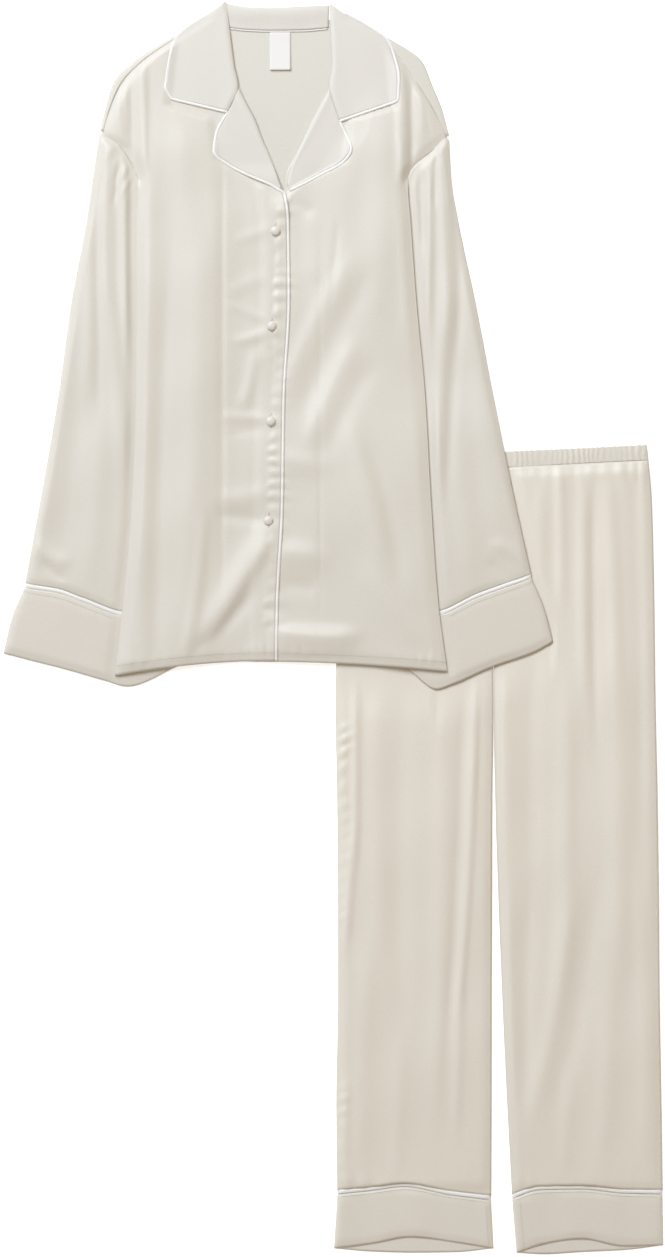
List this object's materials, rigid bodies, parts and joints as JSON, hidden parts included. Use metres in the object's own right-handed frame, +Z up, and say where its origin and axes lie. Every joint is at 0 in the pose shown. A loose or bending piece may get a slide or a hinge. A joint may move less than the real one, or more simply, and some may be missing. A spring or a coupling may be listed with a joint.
{
  "type": "pyjama set",
  "caption": "Satin pyjama set laid flat: a long-sleeved, notched-collar shirt with white piping and covered buttons, laid over straight elastic-waist trousers",
  "frame": {"origin": "on the surface that the set lies on, under the middle of its outline", "axes": "+X across the set towards the wearer's left as laid (the viewer's right), +Y from the leg cuffs towards the collar, +Z up from the surface"},
  "size_m": [0.7916, 1.5025, 0.0101],
  "materials": {
    "shirt_satin": "ivory satin, soft sheen",
    "cuff_satin": "ivory satin, doubled, soft sheen",
    "trouser_satin": "ivory satin, soft sheen",
    "piping": "white satin piping",
    "button_satin": "satin-covered buttons",
    "label_tape": "plain woven tape"
  },
  "bodies": {
    "root": {"button_1": "button_satin", "button_2": "button_satin", "button_3": "button_satin", "button_4": "button_satin", "collar_back": "shirt_satin", "collar_left": "shirt_satin", "collar_piping_left": "piping", "collar_piping_right": "piping", "collar_right": "shirt_satin", "front_piping_left": "piping", "front_piping_right": "piping", "lapel_left": "shirt_satin", "lapel_right": "shirt_satin", "leg_cuff_left": "cuff_satin", "leg_cuff_right": "cuff_satin", "leg_piping_left": "piping", "leg_piping_right": "piping", "neck_label": "label_tape", "neck_piping": "piping", "shirt_back": "shirt_satin", "shirt_front_left": "shirt_satin", "shirt_front_right": "shirt_satin", "shoulder_wrap_left": "shirt_satin", "shoulder_wrap_right": "shirt_satin", "sleeve_cuff_left": "cuff_satin", "sleeve_cuff_right": "cuff_satin", "sleeve_left": "shirt_satin", "sleeve_piping_left": "piping", "sleeve_piping_right": "piping", "sleeve_right": "shirt_satin", "trouser_back_left": "trouser_satin", "trouser_back_right": "trouser_satin", "trouser_front_left": "trouser_satin", "trouser_front_right": "trouser_satin", "waistband": "trouser_satin"}
  },
  "joints": []
}
